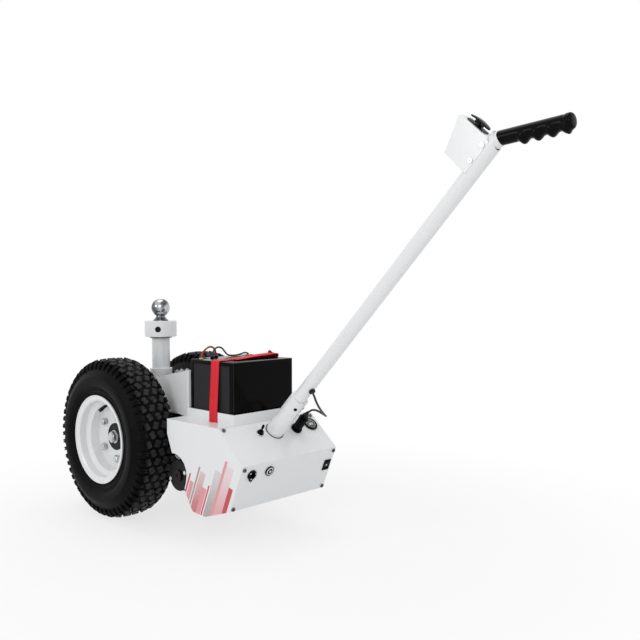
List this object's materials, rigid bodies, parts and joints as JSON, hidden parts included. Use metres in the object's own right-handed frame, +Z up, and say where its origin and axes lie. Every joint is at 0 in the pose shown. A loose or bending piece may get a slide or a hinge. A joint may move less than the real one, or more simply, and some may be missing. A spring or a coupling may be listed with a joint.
{
  "type": "electric trailer dolly",
  "caption": "Battery-powered trailer dolly with twin knobbly tyres, a height-adjustable tow ball post, a folded-sheet drive housing and a long angled handle with a thumb speed paddle",
  "frame": {"origin": "on the floor under the middle of the overall length and width", "axes": "+Y towards the trailer and the tow ball, -Y towards the handle grip; +Z up; +X to the right of someone holding the grip"},
  "size_m": [0.4048, 1.3947, 0.9174],
  "materials": {
    "tyre": "matt",
    "white": "semi-gloss powder coat",
    "rubber": "matt",
    "black_metal": "satin",
    "cast_black": "painted",
    "steel": "zinc plated",
    "dark_steel": "oiled",
    "chrome": "polished",
    "black_plastic": "fine grain",
    "gloss_black": "gloss",
    "brass": "plain",
    "red_strap": "woven webbing",
    "lead_red": "semi-gloss sleeve"
  },
  "bodies": {
    "chassis": {"drive_chain": "dark_steel", "gearbox": "black_metal", "motor": "black_metal", "frame_bolts": "steel", "motor_mount": "black_metal", "axle_brackets": "black_metal", "bearing_housings": "cast_black", "axle_bearings": "steel", "neck_plates": "white", "neck_floor": "white", "post_sleeve": "white", "set_screws": "dark_steel", "side_panel_left": "white", "side_panel_right": "white", "deck": "white", "front_wall": "white", "belly_pan": "white", "rear_cover": "white", "cover_screws": "dark_steel", "battery_tray": "white", "battery_case": "black_plastic", "battery_terminals": "brass", "battery_strap": "red_strap", "battery_leads": "lead_red", "handle_socket": "white", "handle_tube": "white", "control_box": "white", "small_screws": "steel", "paddle_mount": "black_plastic", "handle_grip": "gloss_black", "handle_grommet": "rubber", "handle_cable": "rubber", "cable_plug": "gloss_black", "cable_socket": "gloss_black", "battery_gauge": "gloss_black", "toggle_switch": "dark_steel", "rocker_frame": "gloss_black", "charge_socket": "gloss_black", "breaker_body": "gloss_black", "drive_controller": "black_plastic"},
    "wheel_axle": {"tyre_left": "tyre", "tyre_right": "tyre", "rim_left": "white", "rim_right": "white", "valve_stems": "rubber", "wheel_hubs": "black_metal", "lug_nuts": "steel", "axle_shaft": "steel", "axle_nuts": "steel", "axle_sprocket": "dark_steel"},
    "drive_shaft": {"motor_sprocket": "dark_steel"},
    "ball_mast": {"ball_post": "white", "post_ring": "dark_steel", "ball_collar": "white", "tow_ball": "chrome", "collar_screw": "dark_steel"},
    "paddle": {"speed_paddle": "black_plastic"},
    "toggle": {"toggle_lever": "gloss_black"},
    "rocker": {"power_rocker": "gloss_black"},
    "breaker": {"breaker_button": "gloss_black"}
  },
  "joints": [
    {"name": "wheel_spin", "type": "hinge", "parent": "chassis", "child": "wheel_axle", "pos_m": [0, 0.49009, 0.2065], "axis": [1, 0, 0], "continuous": true},
    {"name": "drive_spin", "type": "hinge", "parent": "chassis", "child": "drive_shaft", "pos_m": [0.05, 0.21909, 0.149], "axis": [1, 0, 0], "continuous": true},
    {"name": "post_lift", "type": "slide", "parent": "chassis", "child": "ball_mast", "axis": [0, 0, 1], "range_m": [0, 0.06]},
    {"name": "paddle_rock", "type": "hinge", "parent": "chassis", "child": "paddle", "pos_m": [0, -0.51456, 0.89834], "axis": [1, 0, 0], "range_deg": [-10, 10], "stiffness_Nm_per_rad": 0.6},
    {"name": "toggle_flip", "type": "hinge", "parent": "chassis", "child": "toggle", "pos_m": [-0.046, 0.03228, 0.26512], "axis": [1, 0, 0], "range_deg": [0, 35]},
    {"name": "rocker_tip", "type": "hinge", "parent": "chassis", "child": "rocker", "pos_m": [0.133, -0.00258, 0.16685], "axis": [1, 0, 0], "range_deg": [-18, 0]},
    {"name": "breaker_push", "type": "slide", "parent": "chassis", "child": "breaker", "axis": [0, 0.9229, 0.385], "range_m": [0, 0.0025], "stiffness_N_per_m": 400}
  ],
  "couplings": [
    {"joint": "drive_spin", "follows": "wheel_spin", "ratio": 3}
  ]
}
